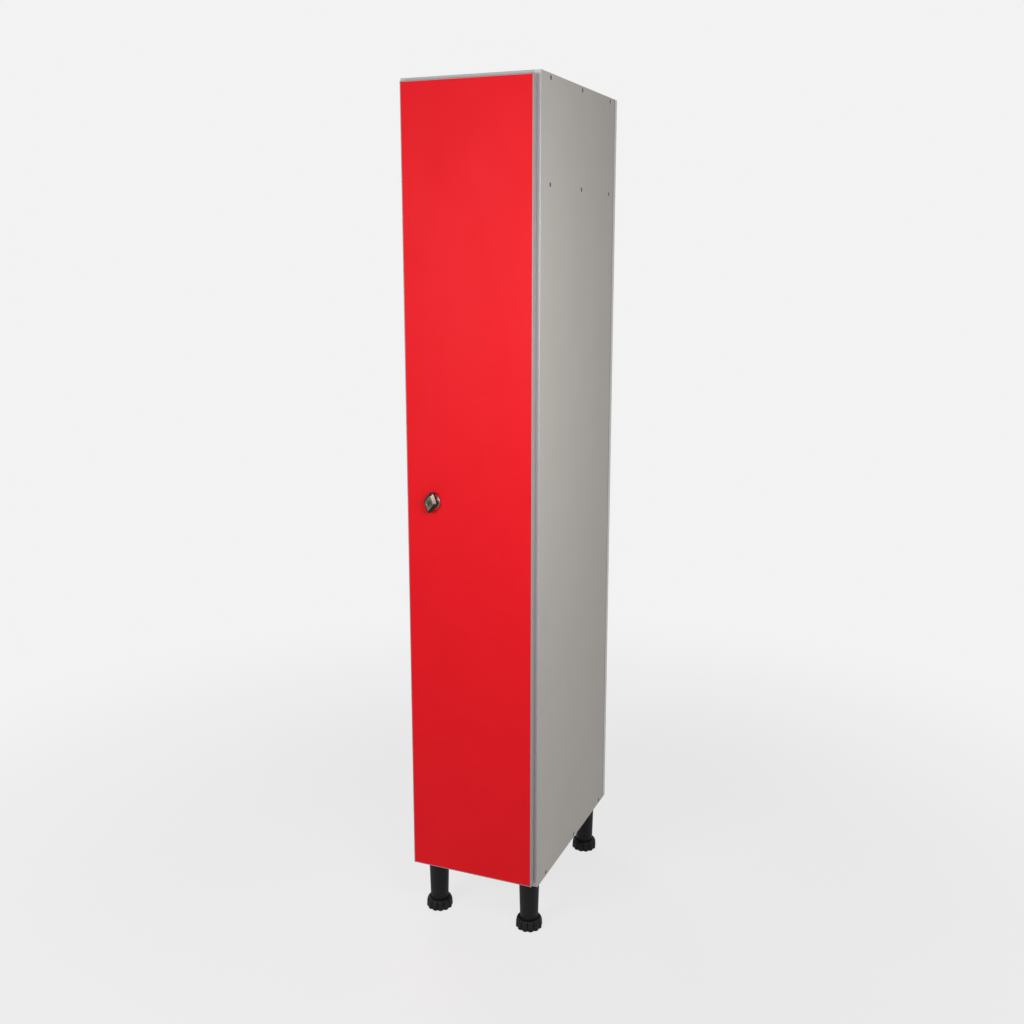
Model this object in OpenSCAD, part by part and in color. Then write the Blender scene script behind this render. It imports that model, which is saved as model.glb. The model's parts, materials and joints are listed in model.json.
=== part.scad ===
// Single-door melamine locker on adjustable legs.
// Frame: the origin is on the floor under the middle of the bounding box,
// +X to the right, +Y to the back, +Z up. The door faces -Y. Millimetres.

/* [Overall size] */
// Width of the locker over its two sides
locker_w = 300; // [260:5:400]
// Depth from the door's face to the back
locker_d = 500; // [400:5:600]
// Height from the floor to the top
locker_h = 1830; // [1530:10:2130]
// Clear height under the carcass
leg_h = 130; // [115:1:160]

/* [Boards] */
// Thickness of the carcass boards
board = 16; // [15:0.5:18]
// Thickness of the edge bands
band = 2; // [1:0.5:2.5]
// Rounding of the edge bands
band_round = 1; // [0.5:0.1:1.5]
// From the top of the carcass to the middle of the hat shelf
shelf_drop = 208; // [180:1:400]
// Shelf set back behind the carcass front
shelf_setback = 24; // [15:1:60]

/* [Door] */
// Thickness of the door
door_board = 16; // [16:0.5:19]
// Gap between the closed door and the carcass
door_gap = 3; // [3:0.25:4]
// Carcass edge left bare round the door
door_reveal = 8; // [7:0.5:9]
// Depth of the lock's pieces in front of the door
lock_out = 20; // [19:1:26]
// Lock centre from the door's free edge
lock_inset = 61; // [55:1:75]
// Height of the lock as a share of the door
lock_share = 0.5; // [0.4:0.01:0.65]

/* [Hinges] */
// Number of cup hinges on the door
hinge_count = 4; // [2:1:4]
// End hinges from the ends of the door
hinge_end = 100; // [80:1:140]
// Radius of the hinge cup
cup_r = 17.5; // [17.5:0.5:20]
// Depth of the cup in the door
cup_deep = 12.8; // [12.8:0.1:13.2]
// Board left between the cup and the door's edge
cup_tab = 3; // [3:0.25:3.5]
// Wall of the cup pressing
cup_wall = 0.7; // [0.5:0.1:0.8]
// Radius of the hinge pin
pin_r = 1.25; // [1:0.05:1.3]
// Thickness of the hinge arm
arm_t = 2; // [1.6:0.1:2]
// Width of the arm in the cup
arm_w = 9; // [8:0.2:9]
// Length of the arm behind the pin
arm_len = 84; // [76:1:100]

/* [Lock] */
// Radius of the lock's rosette
rosette_r = 17; // [16:0.5:22]
// Radius of the threaded housing through the door
housing_r = 9.5; // [9:0.25:11]
// Radius of the knob's spindle
spindle_r = 6; // [5:0.25:6.5]
// Length of the knob's grip
grip_l = 45; // [40:1:48]
// Width of the knob's grip
grip_w = 30; // [26:1:32]
// Tilt of the grip from upright, as it stands at rest
grip_tilt = 10; // [0:1:30]
// Radius of the key plug
plug_r = 6; // [5:0.25:6.5]
// Length of the cam from the spindle's centre
cam_l = 45; // [40:1:47]

/* [Clothes rail] */
// Outer radius of the rail
rail_r = 12.5; // [10:0.5:15]
// Wall of the rail
rail_wall = 1.5; // [1:0.1:2]
// Rail centre below the shelf
rail_drop = 45; // [35:1:80]

/* [Legs] */
// Leg centre from the side of the locker
leg_inset_x = 38; // [38:1:60]
// Leg centre from the carcass front and back
leg_inset_y = 48; // [40:1:100]
// Outer radius of the leg tube at its top
tube_top_r = 23; // [22:0.5:25]
// Outer radius of the leg tube at its foot
tube_foot_r = 20; // [18:0.5:21]
// Wall of the leg tube
tube_wall = 2.5; // [2:0.1:3]
// Outer radius of the foot over its lobes
foot_r = 30; // [28:0.5:34]
// Height of the foot with its shoulder
foot_h = 24; // [22:0.5:28]
// Lobes round the foot
foot_lobes = 12; // [10:1:16]
// Travel of the levelling foot
foot_travel = 20; // [10:1:25]

/* [Fasteners] */
// Radius of the heads of the assembly screws
joint_head_r = 4.75; // [4:0.25:5.5]
// Radius of the shanks of the assembly screws
joint_shank_r = 3.3; // [2.5:0.1:3.5]
// Length of the assembly screws
joint_len = 50; // [40:1:60]
// Assembly screws from the carcass front and back
joint_inset = 52; // [40:1:80]
// Radius of the heads of the small wood screws
wood_head_r = 3.2; // [3:0.1:3.5]
// Radius of the shanks of the small wood screws
wood_shank_r = 1.7; // [1.5:0.1:1.8]
// Length of the small wood screws
wood_len = 13; // [10:1:14]

/* [Hidden] */

// Facets of round shapes, clearances, and an overrun that lets cuts break through
fn = 48;
fit = 0.05;
seat = 0.3;
past = 1;

// Colours
melamine = [0.72, 0.71, 0.69];
band_grey = [0.66, 0.66, 0.66];
red = [0.85, 0.11, 0.13];
black_plastic = [0.07, 0.07, 0.08];
zinc = [0.70, 0.70, 0.68];
satin_nickel = [0.62, 0.59, 0.54];

// Planes of the carcass
carcass_d = locker_d - door_board - door_gap;
carcass_h = locker_h - leg_h;
half_w = locker_w / 2;
inner_x = half_w - board;
y_back = (locker_d + lock_out) / 2;
y_face = y_back - locker_d;
y_door_back = y_face + door_board;
y_front = y_door_back + door_gap;
y_inner_back = y_back - board;
shelf_z = locker_h - shelf_drop;
shelf_y = y_front + shelf_setback;

// Planes of the door
door_x = half_w - door_reveal;
door_z0 = leg_h + door_reveal;
door_z1 = locker_h - door_reveal;
lock_x = -door_x + lock_inset;
lock_z = door_z0 + (door_z1 - door_z0) * lock_share;

// Hinge: the pin stands inside the cup, near its wall on the door's edge side
pivot_off = 13.4;
pivot_out = 11;
cup_x = door_x - cup_tab - cup_r;
pivot_x = cup_x + pivot_off;
pivot_y = y_front - pivot_out;
cup_rim = pivot_out - door_gap;
cup_flange = 1.2;
cup_bottom = cup_rim - cup_deep;
cup_hollow_r = cup_r - cup_wall;
cup_screw_z = 24;
cheek_gap = arm_w / 2 + seat;
eye_r = 2.4;
hook_r = 6.8;
hook_x = -5.5;
hook_y = sqrt(hook_r * hook_r - hook_x * hook_x);
arm_x = hook_x - hook_r;
channel_y = 22;
channel_w = 15;
channel_deep = 5;
channel_wall = 1.2;
plate_t = 2.5;
plate_wing_y = 46;
plate_wing_w = 20;
plate_wing_l = 50;
plate_screw_z = 18;
flange_lip = 2;
wing_r = 6.5;
wing_x = -5;
wing_foot = 13;
cheek_x = -3.5;
cheek_y = 3.5;
cup_notch = 0.8;
pin_spare = 0.6;
arm_side_gap = 0.2;
plate_rib_y = channel_y + 6;
arm_screw_y = [30, 70];
arm_screw_head_r = 3.4;
arm_screw_head_t = 1.6;
arm_screw_r = 2;
arm_screw_len = 6;
arm_hole_gap = 0.4;
hinge_step = (door_z1 - door_z0 - 2 * hinge_end) / (hinge_count - 1);

// Lock: depths are counted from the door's face, out of the door
rosette_t = 3;
hub_r = 11.5;
hub_out = 6;
grip_foot = hub_out + seat;
grip_foot_t = 4;
grip_foot_r = 10.5;
grip_end_r = 5.5;
grip_bevel = 5;
plug_deep = 11;
plug_recess = 0.4;
key_slot = [1.8, 7, 7.6];
rosette_round = 1.5;
rosette_groove = 1;
nut_flats = 26;
nut_t = 5;
cam_w = 16;
cam_t = 3;
cam_gap = 0.6;
cam_eye = 2;
z_nut = -door_board - nut_t;
z_cam = z_nut - cam_gap - cam_t;
y_cam = y_door_back + nut_t + cam_gap;
square_a = 8;
cam_screw_r = 2;
cam_screw_head_r = 5.5;
cam_screw_head_t = 2.5;
cam_screw_len = 9;
cam_screw_spare = 2;
cam_socket_r = 1.8;
cam_socket_deep = 1.5;
strike_t = 2;
strike_out = 17;
strike_h = 44;
strike_leg = 22;
strike_screw_y = 13;
strike_screw_z = 13;

// Rail sockets
socket_flange_r = 22;
socket_flange_t = 4;
socket_ring = 2.5;
socket_deep = 12;
socket_screw_y = 18;
rail_y = (shelf_y + y_inner_back) / 2;
rail_z = shelf_z - board / 2 - rail_drop;

// Legs
flange_half = 27;
flange_round = 8;
flange_t = 4;
flange_screw = 17;
spigot_deep = 18;
spigot_wall = 3;
foot_floor = 6;
foot_lobe_r = 7;
foot_band = 10;
foot_gap = 0.6;
foot_collar_t = 3;
dome_steps = 8;
tube_h0 = foot_floor + seat;
tube_h1 = leg_h - flange_t;
tube_boss_z = 34;
stem_r = 8;
stem_top = tube_boss_z + foot_travel + 12;
spigot_z = tube_h1 - spigot_deep;
function tube_r(z) = tube_foot_r + (tube_top_r - tube_foot_r) * (z - tube_h0) / (tube_h1 - tube_h0);
spigot_r = tube_r(spigot_z) - tube_wall - fit;
foot_bore = tube_r(foot_h) + foot_gap;
foot_collar = foot_bore + foot_collar_t;

// Rows of screws
row_z = [leg_h + board / 2, shelf_z, locker_h - board / 2];
row_y = [y_front + joint_inset, y_front + carcass_d / 2, y_back - joint_inset];
back_row_x = half_w * 0.4;
back_len = 38;
back_head_r = 3.8;
back_shank_r = 2;
back_share = [0.06, 0.35, 0.64, 0.93];
head_rim = 1;
socket_share = 0.46;
back_edge_z = [for (share = back_share) leg_h + carcass_h * share];

function turned(way) =
  way == "-z" ? [180, 0, 0] :
  way == "+x" ? [0, 90, 0] :
  way == "-x" ? [0, -90, 0] :
  way == "+y" ? [-90, 0, 0] :
  way == "-y" ? [90, 0, 0] : [0, 0, 0];

// Puts a shape drawn along +Z at a place, facing the given way
module at(place, way = "+z") translate(place) rotate(turned(way)) children();

// Box between two corners
module block(low, high) translate(low) cube(high - low);

// Countersunk screw with a hexagon socket, its head level with the origin and facing +Z
module screw(head_r, shank_r, length) {
  head_h = head_r - shank_r + head_rim;
  socket_r = head_r * socket_share;
  difference() {
    union() {
      translate([0, 0, -head_rim]) cylinder(r = head_r, h = head_rim, $fn = fn);
      translate([0, 0, -head_h]) cylinder(r1 = shank_r, r2 = head_r, h = head_h - head_rim, $fn = fn);
      translate([0, 0, -length]) cylinder(r = shank_r, h = length - head_h, $fn = fn);
    }
    translate([0, 0, -socket_r]) cylinder(r = socket_r, h = socket_r + past, $fn = 6);
  }
}

// The hole that such a screw sits in
module screw_hole(head_r, shank_r, length) {
  head_h = head_r - shank_r + head_rim;
  translate([0, 0, -head_rim - fit]) cylinder(r = head_r + fit, h = head_rim + fit + past, $fn = fn);
  translate([0, 0, -head_h - fit])
    cylinder(r1 = shank_r + fit, r2 = head_r + fit, h = head_h - head_rim, $fn = fn);
  translate([0, 0, -length - fit]) cylinder(r = shank_r + fit, h = length - head_h + fit, $fn = fn);
}

module joint_screw() screw(joint_head_r, joint_shank_r, joint_len);
module joint_hole() screw_hole(joint_head_r, joint_shank_r, joint_len);
module wood_screw() screw(wood_head_r, wood_shank_r, wood_len);
module wood_hole() screw_hole(wood_head_r, wood_shank_r, wood_len);
module back_screw() screw(back_head_r, back_shank_r, back_len);
module back_hole() screw_hole(back_head_r, back_shank_r, back_len);

// Places of the screws, each a list of points
function joint_spots(side) = [for (z = row_z) for (y = row_y) [side * half_w, y, z]];
back_spots = concat(
  [for (s = [-1, 1]) for (z = back_edge_z) [s * (half_w - board / 2), y_back, z]],
  [for (z = row_z) for (s = [-1, 1]) [s * back_row_x, y_back, z]]
);
function rail_spots(side) =
  [for (s = [-1, 1]) [side * (inner_x - socket_flange_t), rail_y + s * socket_screw_y, rail_z]];
function hinge_z(i) = door_z0 + hinge_end + hinge_step * (i - 1);
arm_screw_spots = [for (i = [1:hinge_count]) for (y = arm_screw_y)
  [pivot_x + arm_x - arm_t / 2, pivot_y + y, hinge_z(i)]];
plate_spots = [for (i = [1:hinge_count]) for (s = [-1, 1])
  [inner_x - plate_t, pivot_y + plate_wing_y, hinge_z(i) + s * plate_screw_z]];
cup_spots = [for (i = [1:hinge_count]) for (s = [-1, 1])
  [cup_x + wing_x, y_door_back + cup_flange, hinge_z(i) + s * cup_screw_z]];
strike_spots = [for (s = [-1, 1])
  [-inner_x + strike_t, y_cam + strike_screw_y, lock_z + s * strike_screw_z]];
leg_spots = [for (sy = [0, 1]) for (sx = [-1, 1])
  [sx * (half_w - leg_inset_x), sy == 0 ? y_front + leg_inset_y : y_back - leg_inset_y, 0]];
leg_screw_spots = [for (p = leg_spots) for (sx = [-1, 1]) for (sy = [-1, 1])
  [p[0] + sx * flange_screw, p[1] + sy * flange_screw, tube_h1]];

// Bar of edge band along +Z, rounded on its two outer edges; it lies on y = 0 and its face looks to -Y
module band_bar(width, thick, length) linear_extrude(length) {
  r = min(band_round, thick);
  translate([-width / 2 + r, -thick]) square([width - 2 * r, thick]);
  translate([-width / 2, -thick + r]) square([width, thick - r]);
  for (s = [-1, 1]) translate([s * (width / 2 - r), -thick + r]) circle(r, $fn = fn);
}

// Bar of edge band round the door: rounded on both long edges, its face looks to +X
module door_band_bar(length) linear_extrude(length) {
  r = min(band_round, band);
  square([band - r, door_board]);
  translate([0, r]) square([band, door_board - 2 * r]);
  for (y = [r, door_board - r]) translate([band - r, y]) circle(r, $fn = fn);
}

// Carcass

module side_panel(side) color(melamine) difference() {
  block([side > 0 ? inner_x : -half_w, y_front + band, leg_h],
        [side > 0 ? half_w : -inner_x, y_inner_back, locker_h]);
  for (p = joint_spots(side)) at(p, side > 0 ? "+x" : "-x") joint_hole();
  for (p = back_spots) at(p, "+y") back_hole();
  for (p = rail_spots(side)) at(p, side > 0 ? "-x" : "+x") wood_hole();
  if (side > 0) for (p = plate_spots) at(p, "-x") wood_hole();
  if (side < 0) for (p = strike_spots) at(p, "+x") wood_hole();
}

// A board between the two sides
module cross_panel(front, z_mid) difference() {
  block([-inner_x, front, z_mid - board / 2], [inner_x, y_inner_back, z_mid + board / 2]);
  for (s = [-1, 1]) for (p = joint_spots(s)) at(p, s > 0 ? "+x" : "-x") joint_hole();
  for (p = back_spots) at(p, "+y") back_hole();
}

module top_panel() color(melamine) cross_panel(y_front + band, row_z[2]);

module hat_shelf() color(melamine) cross_panel(shelf_y + band, row_z[1]);

module bottom_panel() color(melamine) difference() {
  cross_panel(y_front + band, row_z[0]);
  for (p = leg_screw_spots) at(p, "-z") wood_hole();
}

module back_panel() color(melamine) difference() {
  block([-half_w + band, y_inner_back, leg_h], [half_w - band, y_back, locker_h]);
  for (p = back_spots) at(p, "+y") back_hole();
}

module carcass_edge_bands() color(band_grey) {
  for (s = [-1, 1])
    translate([s * (half_w - board / 2), y_front + band, leg_h]) band_bar(board, band, carcass_h);
  for (z = [row_z[0], row_z[2]])
    translate([-inner_x, y_front + band, z]) rotate([0, 90, 0]) band_bar(board, band, 2 * inner_x);
}

module back_edge_bands() color(band_grey) for (s = [-1, 1])
  translate([s * (half_w - band), y_back - board / 2, leg_h]) rotate([0, 0, s * 90])
    band_bar(board, band, carcass_h);

module shelf_edge_band() color(band_grey)
  translate([-inner_x, shelf_y + band, shelf_z]) rotate([0, 90, 0]) band_bar(board, band, 2 * inner_x);

module screw_row(spots, way) for (p = spots) at(p, way) joint_screw();

module assembly_screws_left() color(zinc) screw_row(joint_spots(-1), "-x");
module assembly_screws_right() color(zinc) screw_row(joint_spots(1), "+x");
module back_screws() color(zinc) for (p = back_spots) at(p, "+y") back_screw();

// Clothes rail

module clothes_rail() color(zinc) translate([0, rail_y, rail_z]) rotate([0, 90, 0]) difference() {
  cylinder(r = rail_r, h = 2 * (inner_x - socket_flange_t), center = true, $fn = fn);
  cylinder(r = rail_r - rail_wall, h = 2 * inner_x, center = true, $fn = fn);
}

module rail_socket(side) color(zinc) difference() {
  translate([side * inner_x, rail_y, rail_z]) rotate([0, -side * 90, 0]) difference() {
    union() {
      cylinder(r = socket_flange_r, h = socket_flange_t, $fn = fn);
      cylinder(r = rail_r + fit + socket_ring, h = socket_flange_t + socket_deep, $fn = fn);
    }
    translate([0, 0, socket_flange_t]) cylinder(r = rail_r + fit, h = socket_deep + past, $fn = fn);
  }
  for (p = rail_spots(side)) at(p, side > 0 ? "-x" : "+x") wood_hole();
}

module rail_screws() color(zinc)
  for (s = [-1, 1]) for (p = rail_spots(s)) at(p, s > 0 ? "-x" : "+x") wood_screw();

// Door

module door_panel() color(red) difference() {
  block([-door_x + band, y_face, door_z0 + band], [door_x - band, y_door_back, door_z1 - band]);
  for (i = [1:hinge_count])
    at([cup_x, y_door_back - cup_deep - fit, hinge_z(i)], "+y")
      cylinder(r = cup_r + fit, h = cup_deep + past, $fn = fn);
  for (p = cup_spots) at(p, "+y") wood_hole();
  at([lock_x, y_face - past, lock_z], "+y")
    cylinder(r = housing_r + fit, h = door_board + 2 * past, $fn = fn);
}

module door_edge_bands() color(band_grey) {
  translate([door_x - band, y_face, door_z0]) door_band_bar(door_z1 - door_z0);
  mirror([1, 0, 0]) translate([door_x - band, y_face, door_z0]) door_band_bar(door_z1 - door_z0);
  translate([door_x - band, y_face, door_z1 - band]) rotate([0, -90, 0])
    door_band_bar(2 * (door_x - band));
  translate([-door_x + band, y_face, door_z0 + band]) rotate([0, 90, 0])
    door_band_bar(2 * (door_x - band));
}

// Hinges: each is drawn round its pin, which stands at the origin along Z

module hinge_place(i) translate([pivot_x, pivot_y, hinge_z(i)]) children();

module cup_cylinder(radius, low, high)
  translate([-pivot_off, low, 0]) rotate([-90, 0, 0]) cylinder(r = radius, h = high - low, $fn = 96);

// The pin ends inside the cheeks of its cup
cup_pin_half = sqrt(cup_hollow_r * cup_hollow_r - pivot_off * pivot_off) - pin_spare;

// The flange of the cup, seen from behind the door, round the cup's centre
module cup_flange_shape() {
  circle(cup_r + flange_lip, $fn = 96);
  for (s = [-1, 1]) translate([wing_x, s * cup_screw_z]) circle(wing_r, $fn = fn);
  translate([wing_x - wing_r, -cup_screw_z]) square([wing_foot, 2 * cup_screw_z]);
}

module hinge_cup(i) color(zinc) hinge_place(i) difference() {
  union() {
    difference() {
      union() {
        cup_cylinder(cup_r, cup_bottom, cup_rim + cup_flange);
        intersection() {
          translate([-pivot_off, cup_rim, 0]) rotate([-90, 0, 0]) linear_extrude(cup_flange)
            cup_flange_shape();
          block([-pivot_off - 2 * cup_r, cup_rim - past, -2 * cup_screw_z],
                [0, cup_rim + cup_flange + past, 2 * cup_screw_z]);
        }
      }
      cup_cylinder(cup_hollow_r, cup_bottom + cup_wall, cup_rim + cup_flange + past);
    }
    intersection() {
      cup_cylinder(cup_r, cup_bottom, cup_rim);
      for (s = [-1, 1])
        block([cheek_x, cup_bottom, s > 0 ? cheek_gap : -cup_r],
              [cup_r, cheek_y, s > 0 ? cup_r : -cheek_gap]);
    }
  }
  cylinder(r = pin_r + fit, h = 2 * cup_pin_half + 2 * fit, center = true, $fn = fn);
  block([-eye_r, cup_rim - cup_notch, -cheek_gap], [cup_r, cup_rim + cup_flange + past, cheek_gap]);
  for (s = [-1, 1]) translate([wing_x - pivot_off, cup_rim + cup_flange, s * cup_screw_z])
    rotate(turned("+y")) wood_hole();
}

module hinge_pin(i) color(zinc) hinge_place(i)
  cylinder(r = pin_r, h = 2 * cup_pin_half, center = true, $fn = fn);

// Gooseneck arm: an eye round the pin, a hook that clears the rim of the cup when the
// door is open, and a channel that clips over the mounting plate
module hinge_arm(i) color(zinc) hinge_place(i) difference() {
  union() {
    translate([0, 0, -arm_w / 2]) linear_extrude(arm_w) {
      circle(eye_r, $fn = fn);
      intersection() {
        translate([hook_x, hook_y]) difference() {
          circle(hook_r + arm_t / 2, $fn = 96);
          circle(hook_r - arm_t / 2, $fn = 96);
        }
        translate([arm_x - arm_t, -hook_r]) square([-arm_x + arm_t, hook_r + hook_y]);
      }
      translate([arm_x - arm_t / 2, hook_y]) square([arm_t, arm_len - hook_y]);
    }
    translate([arm_x - arm_t / 2, channel_y, -channel_w / 2])
      cube([arm_t, arm_len - channel_y, channel_w]);
    for (z = [-channel_w / 2, channel_w / 2 - channel_wall])
      translate([arm_x - arm_t / 2, channel_y, z])
        cube([channel_deep, arm_len - channel_y, channel_wall]);
  }
  cylinder(r = pin_r + fit, h = arm_w + past, center = true, $fn = fn);
  for (y = arm_screw_y) at([arm_x - arm_t, y, 0], "+x")
    cylinder(r = arm_screw_r + arm_hole_gap, h = 2 * arm_t, $fn = fn);
}

module hinge_plate(i) color(zinc) difference() {
  hinge_place(i) {
    block([inner_x - pivot_x - plate_t, plate_wing_y - plate_wing_w / 2, -plate_wing_l / 2],
          [inner_x - pivot_x, plate_wing_y + plate_wing_w / 2, plate_wing_l / 2]);
    block([arm_x + arm_t / 2, plate_rib_y, -channel_w / 2 + channel_wall + arm_side_gap],
          [inner_x - pivot_x, arm_len, channel_w / 2 - channel_wall - arm_side_gap]);
  }
  for (p = plate_spots) at(p, "-x") wood_hole();
  for (p = arm_screw_spots) at(p, "+x") cylinder(r = arm_screw_r + fit, h = arm_screw_len + fit, $fn = fn);
}

module hinge_cup_screws() color(zinc) for (p = cup_spots) at(p, "+y") wood_screw();
module hinge_plate_screws() color(zinc) for (p = plate_spots) at(p, "-x") wood_screw();

// The screws that clamp and adjust the arms, with a cross recess in their heads
module hinge_arm_screws() color(zinc) for (p = arm_screw_spots) at(p, "-x") difference() {
  union() {
    cylinder(r = arm_screw_head_r, h = arm_screw_head_t, $fn = fn);
    translate([0, 0, -arm_screw_len]) cylinder(r = arm_screw_r, h = arm_screw_len + seat, $fn = fn);
  }
  for (turn = [0, 90]) rotate(turn) translate([0, 0, arm_screw_head_t])
    cube([arm_screw_head_r, arm_screw_r / 2, arm_screw_head_t], center = true);
}

// Lock: each piece is drawn along +Z, out of the door, with its origin on the door's face

module lock_place() at([lock_x, y_face, lock_z], "-y") children();

module lock_rosette() color(satin_nickel) lock_place() rotate_extrude($fn = 96) difference() {
  union() {
    translate([housing_r + fit, 0])
      square([rosette_r - housing_r - fit - rosette_round, rosette_t]);
    translate([housing_r + fit, 0])
      square([rosette_r - housing_r - fit, rosette_t - rosette_round]);
    translate([rosette_r - rosette_round, rosette_t - rosette_round]) circle(rosette_round, $fn = fn);
  }
  translate([rosette_r - rosette_round - 2 * rosette_groove, rosette_t + rosette_groove / 2])
    circle(rosette_groove, $fn = fn);
}

module lock_housing() color(zinc) lock_place() difference() {
  union() {
    translate([0, 0, rosette_t]) cylinder(r = hub_r, h = hub_out - rosette_t, $fn = 96);
    translate([0, 0, z_nut]) cylinder(r = housing_r, h = rosette_t - z_nut, $fn = 96);
  }
  translate([0, 0, z_nut - past]) cylinder(r = spindle_r + fit, h = hub_out - z_nut + 2 * past, $fn = fn);
}

module lock_nut() color(zinc) lock_place() translate([0, 0, z_nut]) difference() {
  cylinder(d = nut_flats / cos(30), h = nut_t, $fn = 6);
  translate([0, 0, -past]) cylinder(r = housing_r + fit, h = nut_t + 2 * past, $fn = 96);
}

// Turning knob: a lozenge-shaped grip on a round foot, with the spindle through the housing
module lock_knob() color(satin_nickel) lock_place() rotate([0, 0, -grip_tilt]) difference() {
  union() {
    translate([0, 0, grip_foot]) cylinder(r = grip_foot_r, h = grip_foot_t, $fn = 96);
    hull() for (s = [-1, 0, 1]) {
      end_r = s == 0 ? grip_w / 2 : grip_end_r;
      grip_low = grip_foot + grip_foot_t / 2;
      translate([0, s * (grip_l / 2 - grip_end_r), grip_low]) {
        cylinder(r = end_r - grip_bevel, h = lock_out - grip_low, $fn = 32);
        cylinder(r = end_r, h = lock_out - grip_low - grip_bevel, $fn = 32);
      }
    }
    translate([0, 0, z_nut]) cylinder(r = spindle_r, h = grip_foot + grip_foot_t / 2 - z_nut, $fn = fn);
    translate([-square_a / 2, -square_a / 2, z_cam]) cube([square_a, square_a, z_nut + past - z_cam]);
  }
  translate([0, 0, lock_out - plug_deep]) cylinder(r = plug_r + fit, h = plug_deep + past, $fn = fn);
  translate([0, 0, z_cam - past])
    cylinder(r = cam_screw_r + fit, h = cam_screw_len + cam_screw_spare + past, $fn = fn);
}

module key_plug() color(zinc) lock_place() rotate([0, 0, -grip_tilt]) difference() {
  translate([0, 0, lock_out - plug_deep]) cylinder(r = plug_r, h = plug_deep - plug_recess, $fn = fn);
  translate([-key_slot[0] / 2, -key_slot[1] / 2, lock_out - plug_recess - key_slot[2]])
    cube(key_slot + [0, 0, past]);
}

// The cam points along the grip's lower end and turns to the left behind the strike
module lock_cam() color(zinc) lock_place() rotate([0, 0, -grip_tilt]) difference() {
  translate([0, 0, z_cam]) {
    cylinder(r = cam_w / 2 + cam_eye, h = cam_t, $fn = fn);
    translate([-cam_w / 2, -cam_l + cam_w / 2, 0]) cube([cam_w, cam_l - cam_w / 2, cam_t]);
    translate([0, -cam_l + cam_w / 2, 0]) cylinder(r = cam_w / 2, h = cam_t, $fn = fn);
  }
  translate([-square_a / 2 - fit, -square_a / 2 - fit, z_cam - past])
    cube([square_a + 2 * fit, square_a + 2 * fit, cam_t + 2 * past]);
}

module cam_screw() color(zinc) lock_place() translate([0, 0, z_cam]) {
  translate([0, 0, -cam_screw_head_t]) difference() {
    cylinder(r = cam_screw_head_r, h = cam_screw_head_t, $fn = fn);
    translate([0, 0, -past]) cylinder(r = cam_socket_r, h = past + cam_socket_deep, $fn = 6);
  }
  cylinder(r = cam_screw_r, h = cam_screw_len, $fn = fn);
}

// Angle that the cam turns in behind, screwed to the left side
module strike_plate() color(zinc) difference() {
  union() {
    block([-inner_x, y_cam - cam_gap - strike_t, lock_z - strike_h / 2],
          [-inner_x + strike_out, y_cam - cam_gap, lock_z + strike_h / 2]);
    block([-inner_x, y_cam - cam_gap - strike_t, lock_z - strike_h / 2],
          [-inner_x + strike_t, y_cam + strike_leg, lock_z + strike_h / 2]);
  }
  for (p = strike_spots) at(p, "+x") wood_hole();
}

module strike_screws() color(zinc) for (p = strike_spots) at(p, "+x") wood_screw();

// Legs: each is drawn round its own axis, with the floor at z = 0

module leg_place(i) translate(leg_spots[i]) children();

module leg_socket(i) color(black_plastic) difference() {
  leg_place(i) difference() {
    union() {
      translate([0, 0, tube_h1]) linear_extrude(flange_t) {
        square([2 * flange_half, 2 * (flange_half - flange_round)], center = true);
        square([2 * (flange_half - flange_round), 2 * flange_half], center = true);
        for (sx = [-1, 1]) for (sy = [-1, 1])
          translate([sx, sy] * (flange_half - flange_round)) circle(flange_round, $fn = fn);
      }
      translate([0, 0, spigot_z]) cylinder(r = spigot_r, h = spigot_deep, $fn = fn);
    }
    translate([0, 0, spigot_z - past])
      cylinder(r = spigot_r - spigot_wall, h = spigot_deep + past, $fn = fn);
  }
  for (p = leg_screw_spots) at(p, "-z") wood_hole();
}

// Tube: it widens upwards, and its lower end is a thick boss that guides the foot's stem
module leg_tube(i) color(black_plastic) leg_place(i) difference() {
  translate([0, 0, tube_h0]) cylinder(r1 = tube_foot_r, r2 = tube_top_r, h = tube_h1 - tube_h0, $fn = 96);
  translate([0, 0, tube_boss_z])
    cylinder(r1 = tube_r(tube_boss_z) - tube_wall, r2 = spigot_r + fit,
             h = spigot_z - tube_boss_z, $fn = 96);
  translate([0, 0, spigot_z]) cylinder(r = spigot_r + fit, h = spigot_deep + past, $fn = fn);
  cylinder(r = stem_r + fit, h = leg_h, $fn = fn);
}

// Foot: a lobed skirt under a domed shoulder, open in the middle for the tube, and the stem
module leg_foot(i) color(black_plastic) leg_place(i) {
  difference() {
    intersection() {
      linear_extrude(foot_h) {
        circle(foot_r - foot_lobe_r, $fn = 96);
        for (k = [0:foot_lobes - 1]) rotate(360 * k / foot_lobes)
          translate([foot_r - foot_lobe_r, 0]) circle(foot_lobe_r, $fn = fn);
      }
      rotate_extrude($fn = 96) polygon(concat([[0, 0], [foot_r, 0]],
        [for (k = [0:dome_steps]) [foot_collar + (foot_r - foot_collar) * cos(90 * k / dome_steps),
                                   foot_band + (foot_h - foot_band) * sin(90 * k / dome_steps)]],
        [[0, foot_h]]));
    }
    translate([0, 0, foot_floor]) cylinder(r = foot_bore, h = foot_h, $fn = 96);
  }
  cylinder(r = stem_r, h = stem_top, $fn = fn);
}

module leg_screws() color(zinc) for (p = leg_screw_spots) at(p, "-z") wood_screw();

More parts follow.
